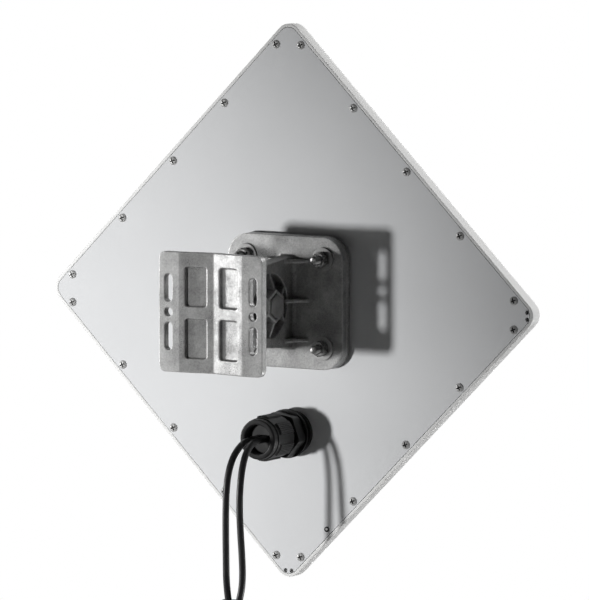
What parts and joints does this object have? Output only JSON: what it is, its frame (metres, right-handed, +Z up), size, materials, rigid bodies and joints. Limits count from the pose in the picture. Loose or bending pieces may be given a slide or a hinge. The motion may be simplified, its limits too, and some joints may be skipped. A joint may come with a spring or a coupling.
{
  "type": "outdoor wireless bridge",
  "caption": "Square flat-panel outdoor wireless bridge standing on its corner, with a tilting cast pole bracket, a cable gland and two data cables.",
  "frame": {"origin": "middle of the pole plate's mounting face, on the bracket's centre line", "axes": "+Z up; +Y from the panel towards the pole, out of the pole plate's mounting face; +X completes the right-handed frame"},
  "size_m": [0.5132, 0.165, 0.6157],
  "materials": {
    "radome_white": "fine satin moulded weatherproof plastic",
    "back_plate_aluminium": "satin anodised sheet",
    "cast_aluminium": "tumbled raw casting, mottled",
    "fastener_steel": "bright stainless",
    "gland_nylon": "moulded black nylon",
    "black_rubber": "moulded",
    "insert_rubber": "moulded grey",
    "cable_jacket": "extruded black jacket",
    "plug_plastic": "clear moulded plug",
    "board": "solder mask",
    "tinplate": "tinned"
  },
  "bodies": {
    "pole_bracket": {"pole_bracket": "cast_aluminium"},
    "panel": {"radome": "radome_white", "back_plate": "back_plate_aluminium", "perimeter_gasket": "black_rubber", "cover_screw_01": "fastener_steel", "cover_screw_02": "fastener_steel", "cover_screw_03": "fastener_steel", "cover_screw_04": "fastener_steel", "cover_screw_05": "fastener_steel", "cover_screw_06": "fastener_steel", "cover_screw_07": "fastener_steel", "cover_screw_08": "fastener_steel", "cover_screw_09": "fastener_steel", "cover_screw_10": "fastener_steel", "cover_screw_11": "fastener_steel", "cover_screw_12": "fastener_steel", "cover_screw_13": "fastener_steel", "cover_screw_14": "fastener_steel", "cover_screw_15": "fastener_steel", "cover_screw_16": "fastener_steel", "cover_screw_17": "fastener_steel", "cover_screw_18": "fastener_steel", "cover_screw_19": "fastener_steel", "cover_screw_20": "fastener_steel", "vent_plug": "gland_nylon", "antenna_board": "board", "radio_board": "board", "shield_can": "tinplate", "dual_ethernet_jack": "tinplate", "adapter_plate": "cast_aluminium", "panel_bracket": "cast_aluminium", "mount_stud_1": "fastener_steel", "mount_stud_2": "fastener_steel", "mount_stud_3": "fastener_steel", "mount_stud_4": "fastener_steel", "mount_washer_1": "fastener_steel", "mount_washer_2": "fastener_steel", "mount_washer_3": "fastener_steel", "mount_washer_4": "fastener_steel", "mount_nut_1": "fastener_steel", "mount_nut_2": "fastener_steel", "mount_nut_3": "fastener_steel", "mount_nut_4": "fastener_steel", "pivot_bolt": "fastener_steel", "pivot_washer": "fastener_steel", "pivot_nut": "fastener_steel", "gland_seal_ring": "black_rubber", "gland_body": "gland_nylon", "gland_locknut": "gland_nylon", "gland_insert": "insert_rubber", "cable_a": "cable_jacket", "coil_a": "cable_jacket", "plug_a": "plug_plastic", "cable_b": "cable_jacket", "coil_b": "cable_jacket", "plug_b": "plug_plastic", "cable_tie": "gland_nylon"},
    "gland_ring": {"gland_clamp_ring": "gland_nylon"},
    "gland_nut": {"gland_nut": "gland_nylon"}
  },
  "joints": [
    {"name": "tilt", "type": "hinge", "parent": "pole_bracket", "child": "panel", "pos_m": [0, -0.09, 0], "axis": [1, 0, 0], "range_deg": [-30, 30]},
    {"name": "gland_travel", "type": "slide", "parent": "panel", "child": "gland_ring", "axis": [0, 1, 0], "range_m": [0, 0.003]},
    {"name": "gland_turn", "type": "hinge", "parent": "gland_ring", "child": "gland_nut", "pos_m": [-0.0016, -0.09, -0.1225], "axis": [0, 1, 0], "range_deg": [-720, 0]}
  ],
  "couplings": [
    {"joint": "gland_travel", "follows": "gland_turn", "m_per_rad": -0.00023873}
  ]
}
